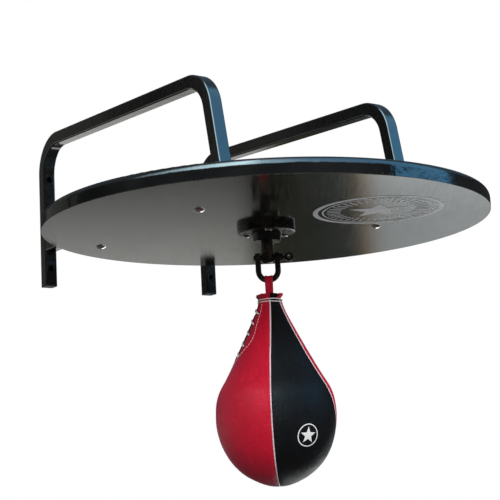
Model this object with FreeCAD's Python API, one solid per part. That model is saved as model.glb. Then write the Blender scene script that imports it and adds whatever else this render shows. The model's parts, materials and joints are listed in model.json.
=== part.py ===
import FreeCAD, Part
import math
import os

# Wall-mounted speed bag platform: two bent square-tube frames carry a round
# rebound board, and a ball-bearing swivel, a bow shackle and a laced leather
# bag hang from the middle of the board.
# Millimetres. X runs along the wall, the object reaches out towards -Y, Z is up.
# The origin is the centre of the four wall-bolt holes, on the wall plane.

V = FreeCAD.Vector
ORIGIN = V(0, 0, 0)
UP = V(0, 0, 1)
ALONG_X = V(1, 0, 0)
ALONG_Y = V(0, 1, 0)

# ---- board ----
BOARD_RADIUS = 305.0
BOARD_THICKNESS = 22.0
LAMINATE_THICKNESS = 1.0
RIM_ROUNDING = 9.0
BOARD_AHEAD = 384.0          # wall plane to the centre of the board
BOARD_UNDERSIDE = -65.0      # height of the board's lower face
BOARD_TOP = BOARD_UNDERSIDE + BOARD_THICKNESS

# ---- frames ----
TUBE = 19.0
TUBE_WALL = 1.5
TUBE_CORNER = 2.5
FRAME_SPACING = 292.0        # between the two frames' middle planes
BEND_RADIUS = 48.0           # to the middle of the tube
LEG_BOTTOM = BOARD_UNDERSIDE - 30.0
ARM_REAR_HEIGHT = BOARD_UNDERSIDE + 195.0
ARM_FRONT_HEIGHT = BOARD_UNDERSIDE + 166.0
DROP_TOP_AHEAD = BOARD_AHEAD + 94.0
DROP_FOOT_AHEAD = BOARD_AHEAD + 121.0
LOWER_ARM_AHEAD = BOARD_AHEAD + 136.0
WALL_HOLE_SPACING = 140.0
WALL_HOLE_RADIUS = 4.5
WELD_LEG = 3.5
PLUG_RIM = 2.0
PLUG_DEPTH = 14.0
PLUG_GAP = 0.1

# ---- bolts that hold the board up to the lower arms ----
BOLT_RADIUS = 3.0
BOLT_HOLE_RADIUS = 3.25
BOLT_STATIONS = (-60.0, 205.0)   # along Y from the board's centre
BOLT_HEAD_RADIUS = 7.5
BOLT_HEAD_HEIGHT = 3.6
BOLT_END_ABOVE = 10.0            # thread end above the lower arm's top
WASHER_RADIUS = 8.0
WASHER_THICKNESS = 1.5
NUT_FLATS = 10.0
NUT_HEIGHT = 5.2

# ---- printed ring on the underside ----
EMBLEM_AT = (78.0, -146.0)       # from the board's centre
EMBLEM_THICKNESS = 0.3
EMBLEM_RINGS = ((86.0, 79.5), (74.0, 72.0))
EMBLEM_TICKS = 40
EMBLEM_TICK = (50.0, 68.0, 2.2)  # inner radius, outer radius, width
STAR_RADII = (40.0, 17.0)
STAR_POINTS = 5

# ---- swivel, in its own frame: board's underside at z = 0, axis on Z ----
FLANGE_RADIUS = 40.0
FLANGE_THICKNESS = 9.0
FLANGE_ROUNDING = 2.0
HUB_RADIUS = 19.0
HUB_BOTTOM = -21.0
CAVITY_RADIUS = 15.5
CAVITY_FLOOR = -15.0
FLANGE_SCREWS = 3
SCREW_CIRCLE_RADIUS = 31.0
SCREW_RADIUS = 2.2
SCREW_HEAD_RADIUS = 4.8
SCREW_HEAD_HEIGHT = 2.4
SCREW_DEPTH = 17.0
RECESS_LENGTH = 5.2
RECESS_WIDTH = 1.1
RECESS_DEPTH = 1.5
STEM_RADIUS = 8.5
RUNNING_GAP = 0.08
STEM_END_BELOW_PIN = 8.0
SPIGOT_RADIUS = 6.0
SPIGOT_TOP = -1.8
BALL_RADIUS = 2.0
BALL_COUNT = 14
BALL_CIRCLE_RADIUS = 11.8
BALL_HEIGHT = -13.3
THRUST_BOTTOM = -12.5
THRUST_TOP = -8.6
THRUST_RADIUS = 14.7
STEM_NUT_FLATS = 19.0
STEM_NUT_HEIGHT = 5.6
FIT_GAP = 0.05

# ---- shackle and its pin ----
PIN_HEIGHT = -43.0
PIN_RADIUS = 3.6
BAR_RADIUS = 3.85
BOW_RADIUS = 13.35               # to the middle of the bar
BOW_CENTRE = PIN_HEIGHT - 17.8
EAR_RADIUS = 6.8
EAR_THICKNESS = 7.8
PIN_TAIL = 2.0                   # past the far ear
COLLAR_RADIUS = 5.4
COLLAR_THICKNESS = 3.0
EYE_RADIUS = 6.2
EYE_HOLE_RADIUS = 2.3
EYE_THICKNESS = 4.4
EYE_CENTRE_OUT = 12.0            # from the ear's outer face

# ---- bag: the neck tie is at z = NECK, drops are measured down from it ----
NECK = PIN_HEIGHT - 58.0
BAG_SHOULDER = (                 # drop below the neck tie, outer radius
    (0.0, 15.0),
    (19.0, 21.5),
    (63.5, 43.0),
    (108.0, 66.5),
)
BAG_WAIST_DROP = 159.0           # below here the outline is a quarter ellipse
BAG_WAIST_RADIUS = 81.0
BAG_LENGTH = 249.5
LEATHER = 1.6
BLADDER_GAP = 2.6                # leather's inner face to the bladder
BLADDER_WALL = 1.2
BLADDER_TOP_DROP = 14.0
SEAM_ANGLES = (-88.0, -4.0, 82.0, 172.0)   # from the bag's own front, which is -Y
SEAM_HALF_ANGLE = 0.8
PIPING_PROUD = 0.9
LACED_SEAM_TOP = -62.0           # the laced seam's bearing at the neck
LACED_SEAM_STRAIGHT = 110.0      # drop at which it has come round to its own angle
TONGUE_HALF_ANGLE = 22.0
TONGUE_DROPS = (12.0, 82.0)
TONGUE_THICKNESS = 1.2
LACE_DROPS = (17.0, 31.0, 45.5, 60.0, 74.0)
LACE_RADIUS = 1.2
LACE_HALF_WIDTH = 5.5
COLLAR_TOP = NECK + 9.0
COLLAR_FLARE = 17.5
COLLAR_WAIST = 14.6
COLLAR_INNER = 11.2
TIE_RADIUS = 1.3
STRAP_WIDTH = 11.0
STRAP_THICKNESS = 2.0
STRAP_GAP = 0.35
STRAP_END = NECK - 9.0
FILLER_RADIUS = 11.0
FILLER_HEIGHTS = (NECK - 9.0, NECK + 4.0)
VALVE_RADIUS = 4.0
VALVE_LENGTH = 3.2
VALVE_PROUD = 0.4
VALVE_BEARING = 122.0
VALVE_DROP = 219.0

REST_YAW = -36.0                 # how far the swivel is turned about Z at rest


def box(x, y, z):
    """A box from (low, high) pairs."""
    return Part.makeBox(x[1] - x[0], y[1] - y[0], z[1] - z[0], V(x[0], y[0], z[0]))


def rod(radius, z_low, z_high, x=0.0, y=0.0):
    """An upright cylinder."""
    return Part.makeCylinder(radius, z_high - z_low, V(x, y, z_low), UP)


def hexagon(flats, z_low, z_high, x=0.0, y=0.0):
    """An upright hexagonal prism, given across its flats."""
    corner = flats / math.sqrt(3)
    points = []
    for step in range(7):
        turn = math.radians(60 * step)
        points.append(V(x + corner * math.cos(turn), y + corner * math.sin(turn), z_low))
    face = Part.Face(Part.makePolygon(points))
    return face.extrude(V(0, 0, z_high - z_low))


def group(solids):
    """Several separate solids in one node."""
    return Part.makeCompound(solids)


def on_board(shape):
    """Move a shape from the swivel's frame to its place under the board."""
    placed = shape.copy()
    placed.rotate(ORIGIN, UP, REST_YAW)
    placed.translate(V(0, -BOARD_AHEAD, BOARD_UNDERSIDE))
    return placed


# ---------------------------------------------------------------- frames

def rounded_square(half, corner, x, y, z):
    """A closed rounded square about (x, y, z), in the horizontal plane."""
    edges = []
    flat = half - corner
    diagonal = corner * math.sqrt(0.5)
    for step in range(4):
        turn = math.radians(90 * step)
        out = V(math.cos(turn), math.sin(turn), 0)
        side = V(-math.sin(turn), math.cos(turn), 0)
        middle = V(x, y, z)
        start = middle + out * half - side * flat
        end = middle + out * half + side * flat
        bend = middle + (out + side) * flat
        edges.append(Part.LineSegment(start, end).toShape())
        tip = bend + (out + side) * diagonal
        edges.append(Part.Arc(end, tip, middle + side * half + out * flat).toShape())
    return Part.Wire(edges)


def hoop_path(x):
    """The bent tube's middle line: wall leg, arm and drop leg."""
    leg = -TUBE / 2
    corners = [V(x, leg, LEG_BOTTOM), V(x, leg, ARM_REAR_HEIGHT),
               V(x, -DROP_TOP_AHEAD, ARM_FRONT_HEIGHT),
               V(x, -DROP_FOOT_AHEAD, BOARD_TOP)]
    edges = []
    start = corners[0]
    for before, corner, after in zip(corners, corners[1:], corners[2:]):
        back = (before - corner).normalize()
        ahead = (after - corner).normalize()
        half = back.getAngle(ahead) / 2
        reach = BEND_RADIUS / math.tan(half)
        inward = (back + ahead).normalize()
        middle = corner + inward * (BEND_RADIUS / math.sin(half) - BEND_RADIUS)
        edges.append(Part.LineSegment(start, corner + back * reach).toShape())
        edges.append(Part.Arc(corner + back * reach, middle, corner + ahead * reach).toShape())
        start = corner + ahead * reach
    edges.append(Part.LineSegment(start, corners[-1]).toShape())
    return Part.Wire(edges)


def hoop_tube(x):
    """A wall leg, arm and drop leg bent from one square tube."""
    path = hoop_path(x)
    start = (x, -TUBE / 2, LEG_BOTTOM)
    outside = rounded_square(TUBE / 2, TUBE_CORNER, *start)
    inside = rounded_square(TUBE / 2 - TUBE_WALL, TUBE_CORNER - TUBE_WALL, *start)
    tube = path.makePipeShell([outside], True, False)
    tube = tube.cut(path.makePipeShell([inside], True, False))
    below_arm = BOARD_TOP + TUBE
    tube = tube.cut(box((x - TUBE, x + TUBE), (-LOWER_ARM_AHEAD, -BOARD_AHEAD), (BOARD_TOP - TUBE, below_arm)))
    for side in (-1, 1):
        hole = Part.makeCylinder(WALL_HOLE_RADIUS, TUBE + 2, V(x, 1, side * WALL_HOLE_SPACING / 2), -ALONG_Y)
        tube = tube.cut(hole)
    return tube


def square_bar(half, corner, x, z, y_front, y_rear):
    """A straight rounded-square bar along Y."""
    outline = rounded_square(half, corner, 0, 0, 0)
    bar = Part.Face(outline).extrude(V(0, 0, y_rear - y_front))
    bar.rotate(ORIGIN, ALONG_X, -90)
    bar.translate(V(x, y_front, z))
    return bar


def lower_arm(x):
    """The straight tube that lies on the board, from the wall leg to the front."""
    z = BOARD_TOP + TUBE / 2
    arm = square_bar(TUBE / 2, TUBE_CORNER, x, z, -LOWER_ARM_AHEAD, -TUBE)
    hollow = square_bar(TUBE / 2 - TUBE_WALL, TUBE_CORNER - TUBE_WALL, x, z, -LOWER_ARM_AHEAD - 1, -TUBE + 1)
    arm = arm.cut(hollow)
    for station in BOLT_STATIONS:
        arm = arm.cut(rod(BOLT_HOLE_RADIUS, BOARD_TOP - 1, BOARD_TOP + TUBE + 1, x, station - BOARD_AHEAD))
    return arm


def wedge(x, corner, toward_y, toward_z, lean=0.0):
    """A triangular bead of weld in the corner given as (y, z), against a face that may lean."""
    half = TUBE / 2 - TUBE_CORNER
    y, z = corner
    points = [V(x - half, y, z), V(x - half, y + toward_y * WELD_LEG, z),
              V(x - half, y + lean * WELD_LEG, z + toward_z * WELD_LEG)]
    return Part.Face(Part.makePolygon(points + points[:1])).extrude(V(2 * half, 0, 0))


def weld_beads(x):
    """The beads at the lower arm's two joints."""
    arm_top = BOARD_TOP + TUBE
    lean = (DROP_FOOT_AHEAD - DROP_TOP_AHEAD) / (ARM_FRONT_HEIGHT - BOARD_TOP)
    foot = DROP_FOOT_AHEAD - lean * TUBE
    half = TUBE / 2 * math.sqrt(1 + lean * lean)
    beads = [wedge(x, (-TUBE, arm_top), -1, 1), wedge(x, (-TUBE, BOARD_TOP), -1, -1)]
    for toward in (-1, 1):
        beads.append(wedge(x, (-foot + toward * half, arm_top), toward, 1, lean))
    return group(beads)


def leg_plug(x):
    """A moulded plug in the open foot of a wall leg."""
    inner = TUBE / 2 - TUBE_WALL - PLUG_GAP
    rim = Part.Face(rounded_square(TUBE / 2, TUBE_CORNER, x, -TUBE / 2, LEG_BOTTOM - PLUG_RIM))
    body = Part.Face(rounded_square(inner, TUBE_CORNER - TUBE_WALL, x, -TUBE / 2, LEG_BOTTOM))
    return rim.extrude(V(0, 0, PLUG_RIM)).fuse(body.extrude(V(0, 0, PLUG_DEPTH))).removeSplitter()


def arm_plug(x):
    """A moulded plug in the front end of a lower arm."""
    z = BOARD_TOP + TUBE / 2
    front = -LOWER_ARM_AHEAD
    inner = TUBE / 2 - TUBE_WALL - PLUG_GAP
    rim = square_bar(TUBE / 2, TUBE_CORNER, x, z, front - PLUG_RIM, front)
    body = square_bar(inner, TUBE_CORNER - TUBE_WALL, x, z, front, front + PLUG_DEPTH)
    return rim.fuse(body).removeSplitter()


# ---------------------------------------------------------------- board

def board_holes():
    """What is drilled through the board: four bolt holes and three screw holes."""
    holes = []
    for x in (-FRAME_SPACING / 2, FRAME_SPACING / 2):
        for station in BOLT_STATIONS:
            holes.append(rod(BOLT_HOLE_RADIUS, BOARD_UNDERSIDE - 1, BOARD_TOP + 1, x, station - BOARD_AHEAD))
    for x, y in screw_places():
        hole = rod(SCREW_RADIUS, -1, SCREW_DEPTH, x, y)
        holes.append(on_board(hole))
    return group(holes)


def board_core():
    """The wooden disc, with a rounded upper edge and a square lower one."""
    disc = Part.makeCylinder(BOARD_RADIUS, BOARD_THICKNESS - LAMINATE_THICKNESS,
                             V(0, -BOARD_AHEAD, BOARD_UNDERSIDE + LAMINATE_THICKNESS), UP)
    upper = [edge for edge in disc.Edges if abs(edge.BoundBox.ZMin - BOARD_TOP) < 0.01]
    disc = disc.makeFillet(RIM_ROUNDING, upper)
    return disc.cut(board_holes())


def board_laminate():
    """The smooth sheet bonded to the underside, which the bag strikes."""
    sheet = Part.makeCylinder(BOARD_RADIUS, LAMINATE_THICKNESS, V(0, -BOARD_AHEAD, BOARD_UNDERSIDE), UP)
    return sheet.cut(board_holes())


def star(outer, inner, points):
    """A flat star outline as a face at z = 0."""
    corners = []
    for step in range(2 * points + 1):
        radius = inner if step % 2 else outer
        turn = math.pi * step / points
        corners.append(V(radius * math.sin(turn), radius * math.cos(turn), 0))
    return Part.Face(Part.makePolygon(corners))


def underside_emblem():
    """A plain printed badge: two rings, radial ticks and a star."""
    low = -EMBLEM_THICKNESS
    pieces = [rod(outer, low, 0).cut(rod(inner, low - 1, 1)) for outer, inner in EMBLEM_RINGS]
    inner, outer, width = EMBLEM_TICK
    for step in range(EMBLEM_TICKS):
        tick = box((inner, outer), (-width / 2, width / 2), (low, 0))
        tick.rotate(ORIGIN, UP, 360 * step / EMBLEM_TICKS)
        pieces.append(tick)
    pieces.append(star(*STAR_RADII, STAR_POINTS).extrude(V(0, 0, low)))
    badge = group(pieces)
    badge.translate(V(EMBLEM_AT[0], EMBLEM_AT[1] - BOARD_AHEAD, BOARD_UNDERSIDE))
    return badge


def bolt_places():
    """Where the four board bolts stand, in plan."""
    return [(x, station - BOARD_AHEAD) for x in (-FRAME_SPACING / 2, FRAME_SPACING / 2)
            for station in BOLT_STATIONS]


def carriage_bolt(x, y):
    """A bolt with a low domed head under the board."""
    shank = rod(BOLT_RADIUS, BOARD_UNDERSIDE, BOARD_TOP + TUBE + BOLT_END_ABOVE, x, y)
    sphere = (BOLT_HEAD_RADIUS ** 2 + BOLT_HEAD_HEIGHT ** 2) / (2 * BOLT_HEAD_HEIGHT)
    ball = Part.makeSphere(sphere, V(x, y, BOARD_UNDERSIDE - BOLT_HEAD_HEIGHT + sphere))
    dome = ball.common(rod(BOLT_HEAD_RADIUS, BOARD_UNDERSIDE - BOLT_HEAD_HEIGHT, BOARD_UNDERSIDE, x, y))
    return shank.fuse(dome)


def board_bolts():
    return group([carriage_bolt(x, y) for x, y in bolt_places()])


def board_washers():
    low = BOARD_TOP + TUBE
    hole = BOLT_RADIUS + FIT_GAP
    return group([rod(WASHER_RADIUS, low, low + WASHER_THICKNESS, x, y).cut(rod(hole, low - 1, low + 9, x, y))
                  for x, y in bolt_places()])


def board_nuts():
    low = BOARD_TOP + TUBE + WASHER_THICKNESS
    hole = BOLT_RADIUS + FIT_GAP
    return group([hexagon(NUT_FLATS, low, low + NUT_HEIGHT, x, y).cut(rod(hole, low - 1, low + 9, x, y))
                  for x, y in bolt_places()])


# ---------------------------------------------------------------- swivel

def screw_places():
    """The flange screws' places in the swivel's frame; one of them points along +X at rest."""
    places = []
    for step in range(FLANGE_SCREWS):
        turn = math.radians(360 * step / FLANGE_SCREWS - REST_YAW)
        places.append((SCREW_CIRCLE_RADIUS * math.cos(turn), SCREW_CIRCLE_RADIUS * math.sin(turn)))
    return places


def ball_groove(radius, height):
    return Part.makeTorus(BALL_CIRCLE_RADIUS, radius, V(0, 0, height), UP)


def swivel_flange():
    """The cast flange and hub, bored for the stem and hollow for the balls."""
    plate = rod(FLANGE_RADIUS, -FLANGE_THICKNESS, 0)
    lower = [edge for edge in plate.Edges if abs(edge.BoundBox.ZMax + FLANGE_THICKNESS) < 0.01]
    plate = plate.makeFillet(FLANGE_ROUNDING, lower)
    hub = Part.makeCone(HUB_RADIUS + 1.5, HUB_RADIUS, -HUB_BOTTOM - FLANGE_THICKNESS,
                        V(0, 0, -FLANGE_THICKNESS), -UP)
    casting = plate.fuse(hub)
    casting = casting.cut(rod(CAVITY_RADIUS, CAVITY_FLOOR, 1))
    casting = casting.cut(rod(STEM_RADIUS + RUNNING_GAP, HUB_BOTTOM - 1, 0))
    casting = casting.cut(ball_groove(BALL_RADIUS + 0.1, BALL_HEIGHT))
    for x, y in screw_places():
        casting = casting.cut(rod(SCREW_RADIUS + FIT_GAP, -FLANGE_THICKNESS - 1, 1, x, y))
    return on_board(casting)


def cross_recess(x, y, low):
    """The driver's cross in a screw head whose lowest level is given."""
    cross = []
    for turn in (0, 90):
        slot = box((-RECESS_LENGTH / 2, RECESS_LENGTH / 2), (-RECESS_WIDTH / 2, RECESS_WIDTH / 2),
                   (low - 1, low + RECESS_DEPTH))
        slot.rotate(ORIGIN, UP, turn)
        slot.translate(V(x, y, 0))
        cross.append(slot)
    return group(cross)


def flange_screws():
    """Pan-head screws through the flange into the board."""
    screws = []
    low = -FLANGE_THICKNESS - SCREW_HEAD_HEIGHT
    for x, y in screw_places():
        head = rod(SCREW_HEAD_RADIUS, low, -FLANGE_THICKNESS, x, y)
        lower = [edge for edge in head.Edges if abs(edge.BoundBox.ZMax - low) < 0.01]
        head = head.makeFillet(SCREW_HEAD_HEIGHT * 0.6, lower)
        screw = head.fuse(rod(SCREW_RADIUS, -FLANGE_THICKNESS, SCREW_DEPTH, x, y))
        screws.append(screw.cut(cross_recess(x, y, low)))
    return on_board(group(screws))


def bearing_balls():
    balls = []
    for step in range(BALL_COUNT):
        turn = 2 * math.pi * step / BALL_COUNT
        place = V(BALL_CIRCLE_RADIUS * math.cos(turn), BALL_CIRCLE_RADIUS * math.sin(turn), BALL_HEIGHT)
        balls.append(Part.makeSphere(BALL_RADIUS, place))
    return on_board(group(balls))


def swivel_stem():
    """The turning stem: a threaded spigot above, a cross hole for the shackle pin below."""
    bottom = PIN_HEIGHT - STEM_END_BELOW_PIN
    stem = rod(STEM_RADIUS, bottom, THRUST_BOTTOM)
    lower = [edge for edge in stem.Edges if abs(edge.BoundBox.ZMax - bottom) < 0.01]
    stem = stem.makeFillet(STEM_RADIUS * 0.55, lower)
    stem = stem.fuse(rod(SPIGOT_RADIUS, THRUST_BOTTOM, SPIGOT_TOP))
    hole = Part.makeCylinder(PIN_RADIUS + RUNNING_GAP, 4 * STEM_RADIUS,
                             V(-2 * STEM_RADIUS, 0, PIN_HEIGHT), ALONG_X)
    return on_board(stem.cut(hole))


def thrust_washer():
    """The upper race, which sits on the stem's shoulder and rides on the balls."""
    race = rod(THRUST_RADIUS, THRUST_BOTTOM, THRUST_TOP)
    race = race.cut(rod(SPIGOT_RADIUS + FIT_GAP, THRUST_BOTTOM - 1, THRUST_TOP + 1))
    return on_board(race.cut(ball_groove(BALL_RADIUS + 0.3, BALL_HEIGHT)))


def stem_nut():
    nut = hexagon(STEM_NUT_FLATS, THRUST_TOP, THRUST_TOP + STEM_NUT_HEIGHT)
    return on_board(nut.cut(rod(SPIGOT_RADIUS + FIT_GAP, THRUST_TOP - 1, 0)))


def shackle_bow():
    """A round bar bent to a bow, with an ear at each end for the pin."""
    edges = [
        Part.LineSegment(V(-BOW_RADIUS, 0, PIN_HEIGHT), V(-BOW_RADIUS, 0, BOW_CENTRE)).toShape(),
        Part.Arc(V(-BOW_RADIUS, 0, BOW_CENTRE), V(0, 0, BOW_CENTRE - BOW_RADIUS),
                 V(BOW_RADIUS, 0, BOW_CENTRE)).toShape(),
        Part.LineSegment(V(BOW_RADIUS, 0, BOW_CENTRE), V(BOW_RADIUS, 0, PIN_HEIGHT)).toShape(),
    ]
    section = Part.Wire(Part.makeCircle(BAR_RADIUS, V(-BOW_RADIUS, 0, PIN_HEIGHT), UP))
    bow = Part.Wire(edges).makePipeShell([section], True, False)
    for side in (-1, 1):
        ear = Part.makeCylinder(EAR_RADIUS, EAR_THICKNESS,
                                V(side * BOW_RADIUS - EAR_THICKNESS / 2, 0, PIN_HEIGHT), ALONG_X)
        rims = [edge for edge in ear.Edges if edge.BoundBox.XLength < 0.01]
        bow = bow.fuse(ear.makeFillet(1.2, rims))
    hole = Part.makeCylinder(PIN_RADIUS + FIT_GAP, 4 * BOW_RADIUS, V(-2 * BOW_RADIUS, 0, PIN_HEIGHT), ALONG_X)
    return on_board(bow.cut(hole))


def shackle_pin():
    """The screw pin, with a shoulder collar and a flat eye to turn it by."""
    ear_face = BOW_RADIUS + EAR_THICKNESS / 2
    tail = -ear_face - PIN_TAIL
    shaft = Part.makeCylinder(PIN_RADIUS, ear_face - tail, V(tail, 0, PIN_HEIGHT), ALONG_X)
    collar = Part.makeCylinder(COLLAR_RADIUS, COLLAR_THICKNESS, V(ear_face, 0, PIN_HEIGHT), ALONG_X)
    eye_x = ear_face + EYE_CENTRE_OUT
    neck = Part.makeCylinder(EYE_THICKNESS / 2, EYE_CENTRE_OUT, V(ear_face, 0, PIN_HEIGHT), ALONG_X)
    eye = Part.makeCylinder(EYE_RADIUS, EYE_THICKNESS, V(eye_x, -EYE_THICKNESS / 2, PIN_HEIGHT), ALONG_Y)
    eye = eye.makeFillet(1.4, [edge for edge in eye.Edges if edge.BoundBox.YLength < 0.01])
    hole = Part.makeCylinder(EYE_HOLE_RADIUS, 3 * EYE_THICKNESS, V(eye_x, -1.5 * EYE_THICKNESS, PIN_HEIGHT), ALONG_Y)
    return on_board(shaft.fuse(collar).fuse(neck).fuse(eye).cut(hole))


# ---------------------------------------------------------------- bag

def shoulder_curve(inset):
    """The outline's upper part in the XZ plane, drawn in by an inset, neck to waist."""
    points = [V(radius - inset, 0, NECK - drop) for drop, radius in BAG_SHOULDER]
    points.append(V(BAG_WAIST_RADIUS - inset, 0, NECK - BAG_WAIST_DROP))
    curve = Part.BSplineCurve()
    curve.interpolate(Points=points, InitialTangent=V(0.18, 0, -1), FinalTangent=V(0, 0, -1))
    return curve


def bottom_curve(inset):
    """The outline's lower part: a quarter ellipse from the waist to the axis."""
    centre = V(0, 0, NECK - BAG_WAIST_DROP)
    lowest = V(0, 0, NECK - BAG_LENGTH + inset)
    waist = V(BAG_WAIST_RADIUS - inset, 0, centre.z)
    ellipse = Part.Ellipse(lowest, waist, centre)
    return Part.ArcOfEllipse(ellipse, 0, math.pi / 2)


def shell_profile(outer_inset, inner_inset):
    """The face between two outlines, closed at the neck and on the axis."""
    edges = []
    for inset in (outer_inset, inner_inset):
        edges.append(shoulder_curve(inset).toShape())
        edges.append(bottom_curve(inset).toShape())
    tops = [V(BAG_SHOULDER[0][1] - inset, 0, NECK) for inset in (outer_inset, inner_inset)]
    feet = [V(0, 0, NECK - BAG_LENGTH + inset) for inset in (outer_inset, inner_inset)]
    edges.append(Part.LineSegment(*tops).toShape())
    edges.append(Part.LineSegment(*feet).toShape())
    return Part.Face(Part.Wire(Part.sortEdges(edges)[0]))


def revolve_between(profile, start, end):
    """Turn a profile about Z between two bearings, counted from the bag's front at -Y."""
    turned = profile.copy()
    turned.rotate(ORIGIN, UP, start - 90)
    return turned.revolve(ORIGIN, UP, end - start)


def valve_body(radius):
    """A short plug that stands square to the bag's skin, low on its back."""
    across = BAG_WAIST_RADIUS
    down = BAG_LENGTH - BAG_WAIST_DROP
    turn = math.asin((VALVE_DROP - BAG_WAIST_DROP) / down)
    place = V(across * math.cos(turn), 0, NECK - VALVE_DROP)
    outward = V(math.cos(turn) / across, 0, -math.sin(turn) / down).normalize()
    plug = Part.makeCylinder(radius, VALVE_LENGTH, place - outward * (VALVE_LENGTH - VALVE_PROUD), outward)
    plug.rotate(ORIGIN, UP, VALVE_BEARING - 90)
    return plug


def bag_panel(number):
    """One leather gore, from one piped seam to the next."""
    start = SEAM_ANGLES[number]
    end = SEAM_ANGLES[(number + 1) % len(SEAM_ANGLES)]
    if end < start:
        end += 360
    panel = revolve_between(shell_profile(0, LEATHER), start + SEAM_HALF_ANGLE, end - SEAM_HALF_ANGLE)
    if start < VALVE_BEARING < end:
        panel = panel.cut(valve_body(VALVE_RADIUS + FIT_GAP))
    return on_board(panel)


def seam_piping():
    """The piping between the gores, a little proud of the leather."""
    profile = shell_profile(-PIPING_PROUD, LEATHER)
    beads = [revolve_between(profile, angle - SEAM_HALF_ANGLE, angle + SEAM_HALF_ANGLE) for angle in SEAM_ANGLES]
    return on_board(group(beads))


def level_band(drop_top, drop_low):
    """A wide disc between two drops, to trim a shell with."""
    return rod(2 * BAG_WAIST_RADIUS, NECK - drop_low, NECK - drop_top)


def laced_bearing(drop):
    """The laced seam leans round to the front towards the neck."""
    share = min(drop / LACED_SEAM_STRAIGHT, 1)
    return LACED_SEAM_TOP + share * (SEAM_ANGLES[0] - LACED_SEAM_TOP)


def lace_tongue():
    """The leather tongue behind the laced opening."""
    inset = LEATHER + 0.3
    middle = laced_bearing(sum(TONGUE_DROPS) / 2)
    shell = revolve_between(shell_profile(inset, inset + TONGUE_THICKNESS),
                            middle - TONGUE_HALF_ANGLE, middle + TONGUE_HALF_ANGLE)
    return on_board(shell.common(level_band(*TONGUE_DROPS)))


def bladder():
    """The air bladder, a closed rubber shell."""
    inset = LEATHER + BLADDER_GAP
    outer = revolve_between(shell_profile(inset, inset + BLADDER_WALL), 0, 360)
    trimmed = outer.common(level_band(BLADDER_TOP_DROP, BAG_LENGTH))
    level = NECK - BLADDER_TOP_DROP
    radius = surface_radius(BLADDER_TOP_DROP) - inset - BLADDER_WALL / 2
    cap = rod(radius, level, level + BLADDER_WALL)
    return on_board(trimmed.fuse(cap))


def bladder_valve():
    return on_board(valve_body(VALVE_RADIUS))


def surface_radius(drop):
    """The outer skin's radius at a drop below the neck."""
    level = Part.Plane(V(0, 0, NECK - drop), UP)
    return shoulder_curve(0).intersect(level)[0][0].X


def bag_lace():
    """Five cross stitches of lace over the closed seam."""
    stitches = []
    for drop in LACE_DROPS:
        out = surface_radius(drop) + LACE_RADIUS + 0.3
        stitch = Part.makeCylinder(LACE_RADIUS, 2 * LACE_HALF_WIDTH,
                                   V(out, -LACE_HALF_WIDTH, NECK - drop), ALONG_Y)
        stitch.rotate(ORIGIN, UP, laced_bearing(drop) - 90)
        stitches.append(stitch)
    return on_board(group(stitches))


def neck_collar():
    """The flared leather collar above the neck tie."""
    low = NECK + TIE_RADIUS + 0.2
    points = [V(COLLAR_WAIST, 0, low), V(COLLAR_FLARE, 0, COLLAR_TOP), V(COLLAR_FLARE - 1.6, 0, COLLAR_TOP),
              V(COLLAR_INNER, 0, low + 2), V(COLLAR_INNER, 0, low)]
    face = Part.Face(Part.makePolygon(points + points[:1]))
    return on_board(face.revolve(ORIGIN, UP, 360))


def neck_tie():
    """Two turns of cord that close the neck."""
    reach = BAG_SHOULDER[0][1] + TIE_RADIUS + PIPING_PROUD + 0.4
    upper = Part.makeTorus(reach, TIE_RADIUS, V(0, 0, NECK - TIE_RADIUS), UP)
    lower = Part.makeTorus(reach + 0.6, TIE_RADIUS, V(0, 0, NECK - 3.2 * TIE_RADIUS), UP)
    return on_board(group([upper, lower]))


def strap_slab(side):
    """One flat fall of the strap, from the bow down into the neck."""
    near = BAR_RADIUS + STRAP_GAP
    y = (near, near + STRAP_THICKNESS) if side > 0 else (-near - STRAP_THICKNESS, -near)
    return box((-STRAP_WIDTH / 2, STRAP_WIDTH / 2), y, (STRAP_END, BOW_CENTRE))


def hanging_loop():
    """The strap that wraps the bow's bar and runs down into the neck."""
    near = BAR_RADIUS + STRAP_GAP
    far = near + STRAP_THICKNESS
    bar_place = V(0, 0, BOW_CENTRE - BOW_RADIUS)
    section = Part.Face(Part.Wire(Part.makeCircle(far, bar_place, ALONG_X)))
    section = section.cut(Part.Face(Part.Wire(Part.makeCircle(near, bar_place, ALONG_X))))
    half_turn = math.degrees(math.asin(STRAP_WIDTH / 2 / (BOW_RADIUS - far)))
    section.rotate(V(0, 0, BOW_CENTRE), ALONG_Y, -half_turn)
    crown = section.revolve(V(0, 0, BOW_CENTRE), ALONG_Y, 2 * half_turn)
    inside_bow = Part.makeCylinder(BOW_RADIUS, 4 * far, V(0, -2 * far, BOW_CENTRE), ALONG_Y)
    strap_band = box((-STRAP_WIDTH / 2, STRAP_WIDTH / 2), (-far, far), (STRAP_END, BOW_CENTRE))
    crown = crown.common(inside_bow).common(strap_band)
    falls = [strap_slab(side).cut(inside_bow) for side in (-1, 1)]
    return on_board(crown.fuse(falls).removeSplitter())


def neck_filler():
    """The leather washer inside the neck, slotted for the strap."""
    filler = rod(FILLER_RADIUS, *FILLER_HEIGHTS)
    for side in (-1, 1):
        filler = filler.cut(strap_slab(side))
    return on_board(filler)


# ---------------------------------------------------------------- output

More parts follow.
